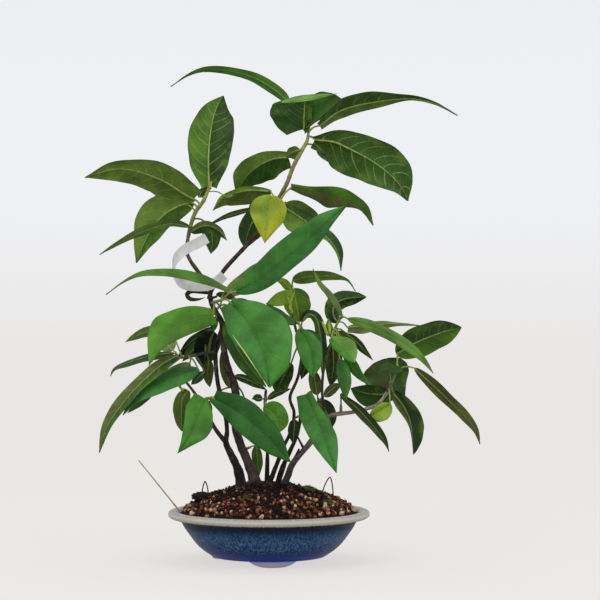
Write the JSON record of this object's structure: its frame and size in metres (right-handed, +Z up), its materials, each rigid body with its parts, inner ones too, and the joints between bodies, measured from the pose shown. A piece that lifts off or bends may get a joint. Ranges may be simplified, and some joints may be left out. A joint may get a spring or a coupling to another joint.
{
  "type": "japanese fig bonsai",
  "caption": "Japanese fig bonsai: a clump of slender woody stems with long pointed leaves, growing from a soil mound in a shallow round blue-glazed pot on low feet.",
  "frame": {"origin": "on the surface that the pot stands on, under the middle of the whole object's box", "axes": "+Z up, +Y away from the picture's viewer, +X to the viewer's right; the pot's axis is 13.3 mm to the left of the origin"},
  "size_m": [0.3896, 0.202, 0.5],
  "materials": {
    "glaze": "soft gloss glaze, blue below and pale grey at the rim",
    "soil": "loose granular bonsai soil, red-brown and tan grains",
    "bark": "dark grey-brown bark with leaf scars",
    "leaf": "fresh leaves and green twigs, satin above and dull below",
    "yellow_leaf": "one leaf turning yellow",
    "dead_leaf": "dry curled dark leaves",
    "label": "thin translucent white plastic strip, left bare",
    "wire": "weathered dark wire",
    "straw": "dry pale grass stalk"
  },
  "bodies": {
    "root": {"pot": "glaze", "soil": "soil", "stems": "bark", "spray_centre_back": "leaf", "spray_centre_low": "leaf", "spray_centre_rear": "leaf", "spray_centre_small": "leaf", "spray_centre_top": "leaf", "spray_centre_upper": "leaf", "spray_dead": "dead_leaf", "spray_inner_low": "leaf", "spray_inner_right": "leaf", "spray_left": "leaf", "spray_left_branch": "leaf", "spray_low_back": "leaf", "spray_low_left": "leaf", "spray_low_rear": "leaf", "spray_middle": "leaf", "spray_middle_back": "leaf", "spray_right_end": "leaf", "spray_right_low": "leaf", "spray_right_stem": "leaf", "spray_right_top": "leaf", "spray_top_right": "leaf", "spray_upper_left": "leaf", "spray_yellow": "yellow_leaf", "label_strip": "label", "wire_pin_left": "wire", "wire_pin_right": "wire", "straw": "straw"}
  },
  "joints": []
}
